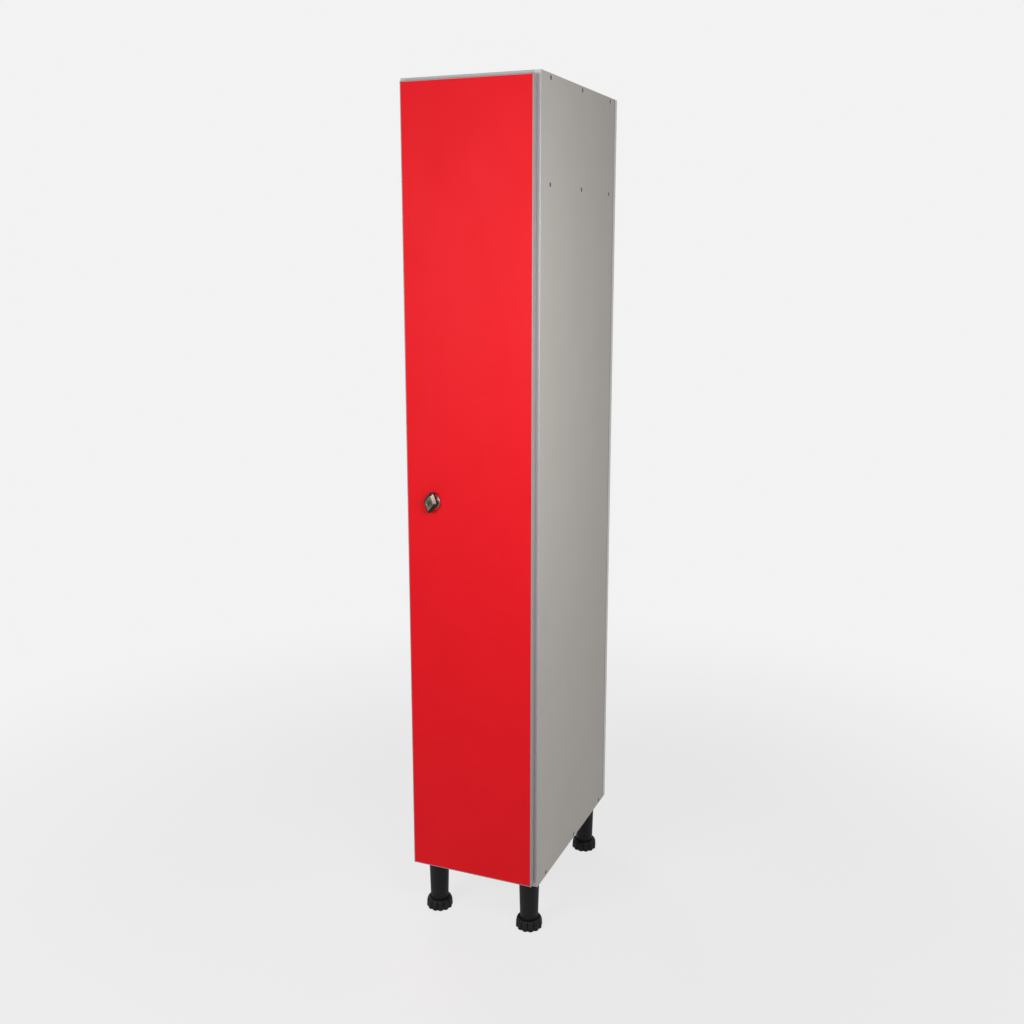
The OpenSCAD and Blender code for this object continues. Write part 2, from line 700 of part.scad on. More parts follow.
side_panel(-1);  // side_panel_left
side_panel(1);  // side_panel_right
top_panel();
bottom_panel();
back_panel();
hat_shelf();
carcass_edge_bands();
back_edge_bands();
shelf_edge_band();
door_panel();
door_edge_bands();
assembly_screws_left();
assembly_screws_right();
back_screws();
clothes_rail();
rail_socket(-1);  // rail_socket_left
rail_socket(1);  // rail_socket_right
rail_screws();
hinge_cup(1);  // hinge_cup_1
hinge_cup(2);  // hinge_cup_2
hinge_cup(3);  // hinge_cup_3
hinge_cup(4);  // hinge_cup_4
hinge_arm(1);  // hinge_arm_1
hinge_arm(2);  // hinge_arm_2
hinge_arm(3);  // hinge_arm_3
hinge_arm(4);  // hinge_arm_4
hinge_plate(1);  // hinge_plate_1
hinge_plate(2);  // hinge_plate_2
hinge_plate(3);  // hinge_plate_3
hinge_plate(4);  // hinge_plate_4
hinge_pin(1);  // hinge_pin_1
hinge_pin(2);  // hinge_pin_2
hinge_pin(3);  // hinge_pin_3
hinge_pin(4);  // hinge_pin_4
hinge_cup_screws();
hinge_plate_screws();
hinge_arm_screws();
lock_rosette();
lock_housing();
lock_nut();
lock_knob();
key_plug();
lock_cam();
cam_screw();
strike_plate();
strike_screws();
leg_socket(0);  // leg_socket_front_left
leg_socket(1);  // leg_socket_front_right
leg_socket(2);  // leg_socket_back_left
leg_socket(3);  // leg_socket_back_right
leg_tube(0);  // leg_tube_front_left
leg_tube(1);  // leg_tube_front_right
leg_tube(2);  // leg_tube_back_left
leg_tube(3);  // leg_tube_back_right
leg_foot(0);  // leg_foot_front_left
leg_foot(1);  // leg_foot_front_right
leg_foot(2);  // leg_foot_back_left
leg_foot(3);  // leg_foot_back_right
leg_screws();
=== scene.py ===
# Melamine locker: finishes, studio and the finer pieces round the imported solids. Metres.
import json
import math
import bpy
import numpy as np
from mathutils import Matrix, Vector


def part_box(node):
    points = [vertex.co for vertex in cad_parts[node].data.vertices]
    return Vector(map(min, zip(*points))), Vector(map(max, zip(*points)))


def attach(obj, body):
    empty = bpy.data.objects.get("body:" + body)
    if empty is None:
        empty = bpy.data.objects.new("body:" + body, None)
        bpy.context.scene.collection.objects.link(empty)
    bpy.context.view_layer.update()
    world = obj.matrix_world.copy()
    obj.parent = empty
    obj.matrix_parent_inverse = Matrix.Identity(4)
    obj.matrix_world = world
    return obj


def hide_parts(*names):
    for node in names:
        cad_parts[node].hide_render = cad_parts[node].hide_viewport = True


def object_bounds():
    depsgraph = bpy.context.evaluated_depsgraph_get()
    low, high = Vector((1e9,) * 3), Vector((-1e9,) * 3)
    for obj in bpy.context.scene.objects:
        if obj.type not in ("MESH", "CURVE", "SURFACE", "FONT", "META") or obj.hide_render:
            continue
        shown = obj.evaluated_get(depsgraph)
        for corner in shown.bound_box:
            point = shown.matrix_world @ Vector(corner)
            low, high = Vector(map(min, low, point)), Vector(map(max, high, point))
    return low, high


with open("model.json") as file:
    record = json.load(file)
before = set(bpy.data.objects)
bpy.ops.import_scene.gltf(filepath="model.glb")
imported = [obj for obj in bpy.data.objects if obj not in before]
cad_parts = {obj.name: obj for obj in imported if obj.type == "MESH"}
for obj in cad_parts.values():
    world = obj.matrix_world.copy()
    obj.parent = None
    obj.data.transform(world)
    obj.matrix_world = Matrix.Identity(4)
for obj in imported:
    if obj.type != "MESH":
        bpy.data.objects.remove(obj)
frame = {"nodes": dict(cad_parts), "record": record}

cadLow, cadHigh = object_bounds()
scene = bpy.context.scene
nodes = frame["nodes"]
corners = ["front_left", "front_right", "back_left", "back_right"]
wallY = cadHigh[1]                                 # the outer face of the back panel
rosetteLow, rosetteHigh = (np.array(end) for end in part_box("lock_rosette"))
lockCentre = (rosetteLow + rosetteHigh) / 2
lockCentre[1] = rosetteHigh[1]                     # on the door's face
print("frame loaded:", len(nodes), "nodes, lock at", lockCentre)


class Wire:
    # A node's output. The operators on it add Math nodes.
    def __init__(self, paint, socket):
        self.paint = paint
        self.socket = socket

    def __add__(self, other):
        return self.paint.math("ADD", self, other)

    def __radd__(self, other):
        return self.paint.math("ADD", other, self)

    def __sub__(self, other):
        return self.paint.math("SUBTRACT", self, other)

    def __rsub__(self, other):
        return self.paint.math("SUBTRACT", other, self)

    def __mul__(self, other):
        return self.paint.math("MULTIPLY", self, other)

    def __rmul__(self, other):
        return self.paint.math("MULTIPLY", other, self)

    def __truediv__(self, other):
        return self.paint.math("DIVIDE", self, other)

    def __rtruediv__(self, other):
        return self.paint.math("DIVIDE", other, self)

    def __pow__(self, other):
        return self.paint.math("POWER", self, other)

    def __rpow__(self, other):
        return self.paint.math("POWER", other, self)

    def __abs__(self):
        return self.paint.math("ABSOLUTE", self)


class Paint:
    # The nodes of one material or of the world
    def __init__(self, owner):
        self.owner = owner
        owner.use_nodes = True
        self.tree = owner.node_tree
        self.tree.nodes.clear()

    def node(self, kind, settings={}, feeds={}, out=0):
        made = self.tree.nodes.new(kind)
        for key, value in settings.items():
            setattr(made, key, value)
        for key, value in feeds.items():
            socket = made.inputs[key]
            if isinstance(value, Wire):
                self.tree.links.new(value.socket, socket)
            elif socket.type == "RGBA":
                socket.default_value = (*value, 1)
            else:
                socket.default_value = value
        return Wire(self, made.outputs[out]) if made.outputs else None

    def math(self, operation, *values):
        return self.node("ShaderNodeMath", {"operation": operation}, dict(enumerate(values)))

    def place(self, out="Object"):
        # The three numbers of a place on the piece, or of the surface's direction there
        vector = self.node("ShaderNodeTexCoord", out=out)
        return [self.node("ShaderNodeSeparateXYZ", {}, {0: vector}, axis) for axis in range(3)]

    def pattern(self, kind, waves, stretch=(1, 1, 1), turn=(0, 0, 0), out=0, **more):
        # A texture with so many waves to the metre, drawn out where stretch is below 1
        vector = self.node("ShaderNodeTexCoord", out="Object")
        vector = self.node("ShaderNodeMapping", {"vector_type": "POINT"},
                           {"Vector": vector, "Rotation": turn, "Scale": stretch})
        return self.node("ShaderNodeTex" + kind, {}, {"Vector": vector, "Scale": waves, **more}, out)

    def ramp(self, value, low, high, start=0.0):
        # Smooth step of a value, from start at low to 1 at high
        return self.node("ShaderNodeMapRange", {"interpolation_type": "SMOOTHSTEP"},
                         {0: value, 1: low, 2: high, 3: start, 4: 1.0})

    def mix(self, share, first, second):
        return self.node("ShaderNodeMix", {"data_type": "RGBA"}, {0: share, 6: first, 7: second}, 2)

    def bump(self, height, strength, distance, under=None):
        feeds = {"Height": height, "Strength": strength, "Distance": distance}
        if under:
            feeds["Normal"] = under
        return self.node("ShaderNodeBump", {}, feeds)

    def surface(self, **feeds):
        # Principled shader. Base_Color here is the socket called Base Color, and so on.
        feeds = {key.replace("_", " "): value for key, value in feeds.items()}
        shader = self.node("ShaderNodeBsdfPrincipled", {}, feeds)
        self.node("ShaderNodeOutputMaterial", {}, {"Surface": shader})
        return self.owner


def screen(red, green, blue):
    # A colour as read off a screen, 0 to 255, made linear
    return tuple(c / 255 / 12.92 if c <= 10 else ((c / 255 + 0.055) / 1.055) ** 2.4
                 for c in (red, green, blue))


def newPaint(name):
    return Paint(bpy.data.materials.new(name))


# Boards: melamine paper on chipboard, with bare chips on the cut edges under the carcass
boardLook = {
    "grey": {"tone": screen(216, 211, 204), "deep": screen(211, 206, 198), "rough": 0.5, "shine": 0.3},
    "red": {"tone": screen(231, 19, 32), "deep": screen(225, 16, 28), "rough": 0.5, "shine": 0.12},
    "mottleWaves": 9, "mottleShare": 0.5, "fineWaves": 260, "fineShare": 0.3,
    "pearlWaves": 1500, "pearlBump": 0.55, "pearlDeep": 0.00006,
    "smearWaves": 16, "smearMatt": 0.035, "smearGloss": 0.02,
    "scuffTone": screen(92, 86, 82), "scuffWaves": 60, "scuffShare": 0.12, "scuffMatt": 0.15,
    "scuffTop": 0.42,                              # shoes and mops reach up to here
    "bottom": 0.1303, "sideInner": 0.1345,         # the carcass's underside, the side panels' inner faces
    "backThick": 0.016, "edge": 0.001,
    # The seam tone is a painted shadow line and dirt at the joint of a side panel and the back panel
    "seamShadeDirtTone": screen(98, 94, 88), "seamWide": 0.007, "seamShare": 0.6,
    "chipPale": screen(201, 172, 128), "chipDark": screen(128, 96, 62), "chipWaves": 620, "chipShare": 0.7,
    "grainWaves": 900, "grainShare": 0.4, "chipMatt": 0.4, "chipBump": 0.9, "chipDeep": 0.0004,
}


def boardPaint(name, board, cutEdges):
    k = boardLook
    p = newPaint(name)
    x, y, z = p.place()
    mottle = p.ramp(p.pattern("Noise", k["mottleWaves"], Detail=4, Roughness=0.6), 0.3, 0.7)
    fine = p.pattern("Noise", k["fineWaves"], Detail=3, Roughness=0.7)
    pearl = p.pattern("Noise", k["pearlWaves"], Detail=2, Roughness=0.55)
    smear = p.pattern("Noise", k["smearWaves"], stretch=(1, 1, 0.22), Detail=5, Roughness=0.62,
                      Distortion=0.6)
    streaks = p.pattern("Noise", k["scuffWaves"], stretch=(0.25, 0.25, 2.2), Detail=6, Roughness=0.7)
    scuff = p.ramp(streaks, 0.62, 0.74) * p.ramp(z, k["scuffTop"], k["bottom"])
    colour = p.mix(mottle * k["mottleShare"] + fine * k["fineShare"], board["tone"], board["deep"])
    colour = p.mix(scuff * k["scuffShare"], colour, k["scuffTone"])
    roughness = (board["rough"] + p.ramp(smear, 0.45, 0.75) * k["smearMatt"]
                 - p.ramp(smear, 0.5, 0.3) * k["smearGloss"] + scuff * k["scuffMatt"])
    normal = p.bump(pearl, k["pearlBump"], k["pearlDeep"])
    if cutEdges:
        joint = wallY - k["backThick"]             # a painted shadow line and dirt where a side panel meets the back panel
        seamShadeAndDirt = p.ramp(y, joint - k["seamWide"], joint - k["edge"]) * p.ramp(y, joint + k["edge"], joint)
        colour = p.mix(seamShadeAndDirt * k["seamShare"], colour, k["seamShadeDirtTone"])
        down = p.ramp(p.place("Normal")[2], -0.5, -0.6)
        under = down * p.ramp(z, k["bottom"] + 0.6 * k["edge"], k["bottom"])
        outer = p.math("MAXIMUM", p.ramp(abs(x), k["sideInner"] - k["edge"], k["sideInner"]),
                       p.ramp(y, joint, joint + k["edge"]))
        cut = under * outer
        chips = p.pattern("Voronoi", k["chipWaves"], stretch=(1, 0.45, 1), out="Color")
        chipTone = p.node("ShaderNodeSeparateColor", {}, {0: chips})
        grain = p.pattern("Noise", k["grainWaves"], Detail=4)
        wood = p.mix(chipTone * k["chipShare"] + grain * k["grainShare"], k["chipDark"], k["chipPale"])
        colour = p.mix(cut, colour, wood)
        roughness = roughness + cut * k["chipMatt"]
        normal = p.bump(chipTone * cut, k["chipBump"], k["chipDeep"], normal)
    return p.surface(Base_Color=colour, Roughness=roughness, Normal=normal,
                     Specular_IOR_Level=board["shine"])


# Edge bands: extruded plastic with faint saw and scraper marks along them. The faces to the front and
# the back have a tone of their own; on the door and the back panel they are the narrow edges, and on the
# door's band this darker tone is painted shade that dims the lamps' highlight on its front edge.
bandLook = {
    "carcass": {"tone": screen(181, 178, 182), "deep": screen(173, 170, 173),
                "frontal": screen(183, 180, 184), "rough": 0.3, "shine": 0.9},
    "door": {"tone": screen(188, 184, 183), "deep": screen(180, 176, 175),
             # the door band's frontal tone is painted shade over the lamps' highlight on its narrow front
             # edge
             "frontal": screen(150, 142, 141), "rough": 0.34, "shine": 0.4},
    "back": {"tone": screen(240, 236, 233), "deep": screen(233, 229, 226),
             "frontal": screen(190, 187, 184), "rough": 0.3, "shine": 0.9},
    "markWaves": 420, "markBump": 0.25, "markDeep": 0.00004, "cloudWaves": 30,
}


def bandPaint(name, band):
    k = bandLook
    p = newPaint(name)
    along = p.pattern("Noise", k["markWaves"], stretch=(1, 1, 0.02), Detail=3, Roughness=0.6)
    cloud = p.pattern("Noise", k["cloudWaves"], Detail=3)
    colour = p.mix(along * 0.5 + cloud * 0.3, band["tone"], band["deep"])
    # the frontal tone goes on the faces that point to the front or the back; on the door's band it is
    # painted shade
    frontal = p.ramp(abs(p.place("Normal")[1]), 0.3, 0.9)
    colour = p.mix(frontal, colour, band["frontal"])
    roughness = band["rough"] + along * 0.12 - cloud * 0.04
    return p.surface(Base_Color=colour, Roughness=roughness, Specular_IOR_Level=band["shine"],
                     Normal=p.bump(along, k["markBump"], k["markDeep"]))


# Metals: each has its tone, its roughness and the way its fine marks run
metalLook = {
    "zinc": {"tone": screen(150, 150, 148), "deep": screen(96, 98, 102), "rough": 0.34,
             "run": (1, 1, 1), "waves": 900},
    # painted shade: a dark tone for the screw heads in place of the shade in their sockets and
    # countersinks
    "shadedHeads": {"tone": screen(108, 102, 96), "deep": screen(76, 72, 68), "rough": 0.38,
                "run": (1, 1, 1), "waves": 900},
    "hinge": {"tone": screen(206, 204, 198), "deep": screen(168, 166, 160), "rough": 0.27,
              "run": (1, 0.2, 1), "waves": 1400},
    "lockSteel": {"tone": screen(190, 188, 180), "deep": screen(140, 138, 132), "rough": 0.32,
                  "run": (1, 1, 1), "waves": 1100},
    "chrome": {"tone": screen(226, 227, 228), "deep": screen(205, 207, 210), "rough": 0.1,
               "run": (0.05, 1, 1), "waves": 1600},
    "cloudWaves": 70, "spotWaves": 240, "markMatt": 0.16, "spotMatt": 0.1,
    "markBump": 0.18, "markDeep": 0.00002,
}


def metalPaint(name, metal):
    k = metalLook
    p = newPaint(name)
    marks = p.pattern("Noise", metal["waves"], stretch=metal["run"], Detail=3, Roughness=0.6)
    cloud = p.pattern("Noise", k["cloudWaves"], Detail=5, Roughness=0.65)
    spots = p.ramp(p.pattern("Voronoi", k["spotWaves"]), 0.1, 0.0)
    colour = p.mix(p.ramp(cloud, 0.35, 0.7) * 0.7 + marks * 0.3, metal["tone"], metal["deep"])
    plain = metal["rough"] - k["markMatt"] / 2     # the marks average a half
    roughness = plain + marks * k["markMatt"] + spots * k["spotMatt"]
    return p.surface(Base_Color=colour, Metallic=1.0, Roughness=roughness,
                     Normal=p.bump(marks, k["markBump"], k["markDeep"]))


# Satin nickel of the lock: brushed along the grip's face, with painted shade on its walls for the dark
# things they would reflect and a painted highlight on the walls facing up and right, and turned in rings
# on the rosette, tinted pink there as a painted reflection of the red door
nickelLook = {
    "tone": screen(128, 120, 106), "deep": screen(98, 91, 79), "rough": 0.26,
    # The ring tones are tinted pink, a painted reflection of the red door
    "ring": screen(158, 134, 126), "ringRedReflectDeep": screen(118, 98, 92), "ringWaves": 3000, "wallWaves": 2000,
    # The wall tones are painted shade for the dark surroundings the walls reflect; the worn tone is rubbed
    # metal and also the painted highlight on the walls facing up and right
    "wall": screen(62, 56, 48), "wallShadeDeep": screen(30, 26, 22), "wornAndHighlight": screen(88, 78, 72),
    "cloudWaves": 90, "touchWaves": 45, "brushWaves": 2600, "markMatt": 0.16, "touchMatt": 0.09,
    "markBump": 0.35, "markDeep": 0.00002,
    "tilt": 10,                                    # degrees from upright
    "face": 0.0200, "bevel": 0.005,                # height of the face over the door, and of the bevel
    "highlightRight": 0.8, "highlightTop": 0.6,            # the painted highlight lies on the walls that face this way
    "boreFrom": 0.0072, "boreTo": 0.0080,          # and not in the plug's bore, inside these radii
}


def nickelPaint(name, rings):
    k = nickelLook
    p = newPaint(name)
    x, y, z = p.place()
    cloud = p.pattern("Noise", k["cloudWaves"], Detail=4, Roughness=0.6)
    touch = p.ramp(p.pattern("Noise", k["touchWaves"], Detail=3, Distortion=0.8), 0.52, 0.66)
    radius = ((x - lockCentre[0]) ** 2 + (z - lockCentre[2]) ** 2) ** 0.5
    if rings:
        marks = p.node("ShaderNodeTexNoise", {"noise_dimensions": "1D"},
                       {"W": radius * k["ringWaves"] + y * k["wallWaves"], "Scale": 1.0, "Detail": 4})
        # pink-tinted ring tones: a painted reflection of the red door on the rosette
        colour = p.mix(cloud * 0.6 + marks * 0.25, k["ring"], k["ringRedReflectDeep"])
    else:
        marks = p.pattern("Noise", k["brushWaves"], stretch=(1, 1, 0.03),
                          turn=(0, -math.radians(k["tilt"]), 0), Detail=4)
        below = (y - lockCentre[1] + k["face"]) / k["bevel"]       # 0 on the face, 1 below the bevel
        colour = p.mix(cloud * 0.6 + marks * 0.25, k["tone"], k["deep"])
        # painted shade: the walls take a dark tone in place of the dark surroundings they reflect
        wall = p.mix(cloud * 0.7 + marks * 0.2, k["wall"], k["wallShadeDeep"])
        facing = p.place("Normal")
        # painted highlight: the walls that face up and right take the lighter tone, as if lit from there
        paintedHighlight = p.ramp(facing[0] * k["highlightRight"] + facing[2] * k["highlightTop"], 0.42, 0.54)
        paintedHighlight = paintedHighlight * p.ramp(below, 1.15, 0.95) * p.ramp(radius, k["boreFrom"], k["boreTo"])
        colour = p.mix(p.ramp(below, 0.03, 0.14), colour, p.mix(paintedHighlight, wall, k["wornAndHighlight"]))
        arris = p.ramp(below, 0.18, 0.06) * p.ramp(below, 0.0, 0.04)      # the face's edge, rubbed bare and partly a painted highlight
        colour = p.mix(arris * 0.4, colour, k["wornAndHighlight"])
    roughness = k["rough"] - k["markMatt"] / 2 + marks * k["markMatt"] + touch * k["touchMatt"]
    return p.surface(Base_Color=colour, Metallic=1.0, Roughness=roughness,
                     Normal=p.bump(marks, k["markBump"], k["markDeep"]))


# Black plastic of the legs: fine spark texture from the mould, dust towards the floor
legLook = {
    "tone": screen(11, 11, 15), "rubbed": screen(25, 25, 29), "dust": screen(84, 80, 75),
    "rough": 0.5, "shine": 0.22, "sparkWaves": 2200, "sparkBump": 0.5, "sparkDeep": 0.00008,
    "dustWaves": 40, "dustTop": 0.05, "dustShare": 0.22, "rubWaves": 130, "rubShare": 0.35,
}


def legPaint(name):
    k = legLook
    p = newPaint(name)
    height = p.place()[2]
    spark = p.pattern("Noise", k["sparkWaves"], Detail=2, Roughness=0.6)
    cloud = p.pattern("Noise", k["dustWaves"], Detail=5, Roughness=0.6)
    rub = p.pattern("Noise", k["rubWaves"], stretch=(1, 1, 0.3), Detail=5, Roughness=0.7)
    rub = p.ramp(rub, 0.6, 0.75)
    dust = p.ramp(cloud, 0.45, 0.8) * p.ramp(height, k["dustTop"], 0.0)
    colour = p.mix(rub * k["rubShare"], k["tone"], k["rubbed"])
    colour = p.mix(dust * k["dustShare"], colour, k["dust"])
    roughness = k["rough"] + spark * 0.14 + dust * 0.25 - rub * 0.06
    return p.surface(Base_Color=colour, Roughness=roughness, Specular_IOR_Level=k["shine"],
                     Normal=p.bump(spark, k["sparkBump"], k["sparkDeep"]))


slotFinish = {
    "melamine": boardPaint("greyMelamine", boardLook["grey"], True),
    "door_red": boardPaint("redMelamine", boardLook["red"], False),
    "carcass_band": bandPaint("carcassEdgeBand", bandLook["carcass"]),
    "door_band": bandPaint("doorEdgeBand", bandLook["door"]),
    "screw_zinc": metalPaint("zincScrew", metalLook["zinc"]),
    "hinge_steel": metalPaint("nickelledSteel", metalLook["hinge"]),
    "lock_steel": metalPaint("platedLockSteel", metalLook["lockSteel"]),
    "rail_chrome": metalPaint("chromedTube", metalLook["chrome"]),
    "lock_nickel": nickelPaint("satinNickelGrip", False),
    "leg_plastic": legPaint("blackLegPlastic"),
}
ringNickel = nickelPaint("satinNickelRosette", True)
shadedScrewHeads = metalPaint("shadedScrewHeads", metalLook["shadedHeads"])
backBand = bandPaint("backEdgeBand", bandLook["back"])
nodeFinish = {
    "key_plug": slotFinish["lock_nickel"],         # the plug's face matches the grip
    "back_edge_bands": backBand,
    "assembly_screws_left": shadedScrewHeads,          # the screws through the boards are darker: painted shade of their hex sockets and countersinks
    "assembly_screws_right": shadedScrewHeads,
    "back_screws": shadedScrewHeads,
}
for row in frame["record"]["subparts"]:
    for place in nodes[row["node"]].material_slots:
        place.material = nodeFinish.get(row["node"], slotFinish[row["material_slot"]])
print("finishes made:", len({*slotFinish.values(), ringNickel, shadedScrewHeads, backBand}))


def skin(shells):
    # Each shell is a grid of closed rings (rings, points, 3). Neighbouring rings are joined by quads,
    # and each end is closed by a fan to the ring's middle. The sign of the volume, a sixth of the sum
    # of the triple products of the triangles' corners, tells whether the shell has to be turned.
    points = []
    faces = []
    start = 0
    for rings in shells:
        count, around = rings.shape[:2]
        cloud = np.vstack([rings.reshape(-1, 3), rings[0].mean(0), rings[-1].mean(0)])
        grid = np.arange(count * around).reshape(count, around)
        nextAround = np.roll(grid, -1, 1)
        quads = np.stack([grid[:-1], nextAround[:-1], nextAround[1:], grid[1:]], -1).reshape(-1, 4)
        poles = [np.full(around, count * around + end) for end in range(2)]
        fans = np.vstack([np.stack([nextAround[0], grid[0], poles[0]], -1),
                          np.stack([grid[-1], nextAround[-1], poles[1]], -1)])
        corner = cloud[np.vstack([quads[:, :3], quads[:, [0, 2, 3]], fans])]
        if np.einsum("ij,ij->i", corner[:, 0], np.cross(corner[:, 1], corner[:, 2])).sum() < 0:
            quads = quads[:, ::-1]
            fans = fans[:, ::-1]
        faces += (quads + start).tolist() + (fans + start).tolist()
        points.append(cloud)
        start += len(cloud)
    return np.vstack(points), faces


def makePiece(name, shells, finish, body, replaced, sharp=35):
    points, faces = skin(shells)
    mesh = bpy.data.meshes.new(name)
    mesh.from_pydata(points.tolist(), [], faces)
    mesh.polygons.foreach_set("use_smooth", np.ones(len(faces), bool))
    mesh.set_sharp_from_angle(angle=math.radians(sharp))
    mesh.materials.append(finish)
    mesh.update()
    piece = bpy.data.objects.new(name, mesh)
    scene.collection.objects.link(piece)
    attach(piece, body)
    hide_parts(replaced)


def rounded(bends, radii, steps=5):
    # A path through bends, each cut back by its radius and rounded by the curve whose points are
    # (1-t)^2 a + 2t(1-t) b + t^2 c, with b the bend and a and c the points cut back from it
    bends = np.array(bends, float)
    path = [bends[:1]]
    t = np.linspace(0, 1, steps + 1)[:, None]
    for a, b, c, radius in zip(bends[:-2], bends[1:-1], bends[2:], radii):
        before = a - b
        after = c - b
        cutBefore = b + before * min(radius / np.linalg.norm(before), 0.5)
        cutAfter = b + after * min(radius / np.linalg.norm(after), 0.5)
        path.append((1 - t) ** 2 * cutBefore + 2 * t * (1 - t) * b + t ** 2 * cutAfter)
    return np.vstack(path + [bends[-1:]])


def turned(profile, centre, across, up, out, around=96):
    # Profile points (radius, height) carried round an axis: centre + radius (cos across + sin up)
    # + height out
    angle = np.linspace(0, 2 * np.pi, around, endpoint=False)
    spoke = np.cos(angle)[:, None] * across + np.sin(angle)[:, None] * up
    return centre + profile[:, None, :1] * spoke[None] + profile[:, None, 1:] * out


# Lock: rosette and grip in front of the door. Heights are measured from the door's face.
lockLook = {
    "rosette": 0.017, "rosetteThick": 0.003, "bore": 0.00955, "rim": 0.0012,
    "groove": (0.0020, 0.0024, 0.0030, 0.0034), "grooveDeep": 0.0005,     # its four edges, in from the rim
    "rosetteRounds": (0.0002, 0.0008, 0.0006, 0.0003, 0.0002, 0.0002, 0.0003, 0.0002),
    "gripLength": 0.045, "gripWidth": 0.030, "gripEnd": 0.0055, "gripSide": 0.0065, "gripBlend": 24,
    "faceLength": 0.031, "faceWidth": 0.0176, "faceEnd": 0.0015, "faceSide": 0.002,
    "gripLow": 0.0083, "shoulder": 0.0150, "gripTop": 0.020, "edge": 0.0006, "backRound": 0.0008,
    "backInset": 0.004, "backShare": 0.25, "faceSteps": 5,
    "plug": 0.006, "plugDeep": 0.0109,             # the bore ends 0.1 mm before the solid's own floor
    "lip": 0.0009, "lipDeep": 0.0006, "lipClear": 0.0002, "boreClear": 0.00012, "boreMiddle": 0.001,
    "hub": 0.0105, "hubOut": 0.0063, "hubIn": 0.001, "spindle": 0.006, "spindleDeep": 0.021,
    "square": 0.00395, "squareFrom": 0.0212, "squareDeep": 0.0246, "spindleMiddle": 0.0005,
    "spindleRounds": (0.0005, 0.0005, 0.0002, 0.0003, 0.0002, 0.0003),
}
tilt = math.radians(nickelLook["tilt"])
outward = np.array([0.0, -1.0, 0.0])
gripAlong = np.array([math.sin(tilt), 0.0, math.cos(tilt)])
gripAcross = np.array([math.cos(tilt), 0.0, -math.sin(tilt)])


def rosetteShape():
    # Turned ring: flat back, straight wall, rounded rim, and a shallow groove round a raised land
    k = lockLook
    wall = k["rosette"]
    top = k["rosetteThick"]
    floor = top - k["grooveDeep"]
    first, second, third, fourth = (wall - inset for inset in k["groove"])
    profile = rounded([(k["bore"], 0.0), (wall, 0.0), (wall, top - k["rim"]), (wall - k["rim"], top),
                       (first, top), (second, floor), (third, floor), (fourth, top),
                       (k["bore"], top), (k["bore"], 0.0)], k["rosetteRounds"])
    return turned(profile, lockCentre, gripAcross, gripAlong, outward, 128)


def lozenge(length, width, end, flank, angle):
    # The hull of two discs at the ends and two at the sides. Its support function at the normal's angle
    # is h = (e^k + s^k)^(1/k), with e the end disc's radius plus its distance times |sin|, and s the side
    # disc's radius plus its distance times |cos|. The point is h n + h' t, n the normal and t the tangent.
    blend = lockLook["gripBlend"]

    def support(a):
        e = end + (length / 2 - end) * np.abs(np.sin(a))
        s = flank + (width / 2 - flank) * np.abs(np.cos(a))
        return e * (1 + (s / e) ** blend) ** (1 / blend)

    step = 1e-4
    slope = (support(angle + step) - support(angle - step)) / (2 * step)
    normal = np.cos(angle)[:, None] * gripAcross + np.sin(angle)[:, None] * gripAlong
    tangent = np.cos(angle)[:, None] * gripAlong - np.sin(angle)[:, None] * gripAcross
    return support(angle)[:, None] * normal + slope[:, None] * tangent


def gripShape(around=192):
    # The outline narrows to the face's outline over the bevel: points of equal normal are joined by
    # straight lines, full + (face - full) u. The face then runs to the lip of the plug's bore.
    k = lockLook
    low, shoulder, top, edge, plug = (k[key] for key in ("gripLow", "shoulder", "gripTop", "edge", "plug"))
    angle = np.linspace(0, 2 * np.pi, around, endpoint=False)
    full = lozenge(k["gripLength"], k["gripWidth"], k["gripEnd"], k["gripSide"], angle)
    face = lozenge(k["faceLength"], k["faceWidth"], k["faceEnd"], k["faceSide"], angle)
    facet = (k["gripLength"] - k["faceLength"]) / 2
    path = rounded([(k["backInset"], low), (0.0, low), (0.0, shoulder), (facet, top), (facet + edge, top)],
                   [k["backRound"], edge, edge / 2])
    rings = [full * k["backShare"] + outward * low]
    rings += [full + (face - full) * (inset / facet) + outward * height for inset, height in path]
    rim = rings[-1] - outward * top
    spoke = np.cos(angle)[:, None] * gripAcross + np.sin(angle)[:, None] * gripAlong
    lip = (plug + k["lip"]) * spoke
    rings += [rim * (1 - share) + lip * share + outward * top
              for share in np.linspace(0, 1, k["faceSteps"] + 1)[1:]]
    floor = top - k["plugDeep"]
    rings += [(plug + k["lipClear"]) * spoke + outward * (top - k["lipDeep"]),
              (plug + k["boreClear"]) * spoke + outward * floor,
              k["boreMiddle"] * spoke + outward * floor]
    return np.array(rings) + lockCentre


def spindleShape():
    # The grip's round foot on the hub, the spindle through the door and its squared end, all turned
    k = lockLook
    middle = k["spindleMiddle"]
    inGrip = k["gripLow"] + k["hubIn"]
    profile = rounded([(middle, inGrip), (k["hub"], inGrip), (k["hub"], k["hubOut"]),
                       (k["spindle"], k["hubOut"]), (k["spindle"], -k["spindleDeep"]),
                       (k["square"], -k["squareFrom"]), (k["square"], -k["squareDeep"]),
                       (middle, -k["squareDeep"])], k["spindleRounds"])
    return turned(profile, lockCentre, gripAcross, gripAlong, outward)


makePiece("rosette", [rosetteShape()], ringNickel, "door", "lock_rosette")
makePiece("turningGrip", [gripShape(), spindleShape()], slotFinish["lock_nickel"], "knob", "lock_knob")
print("lock made")


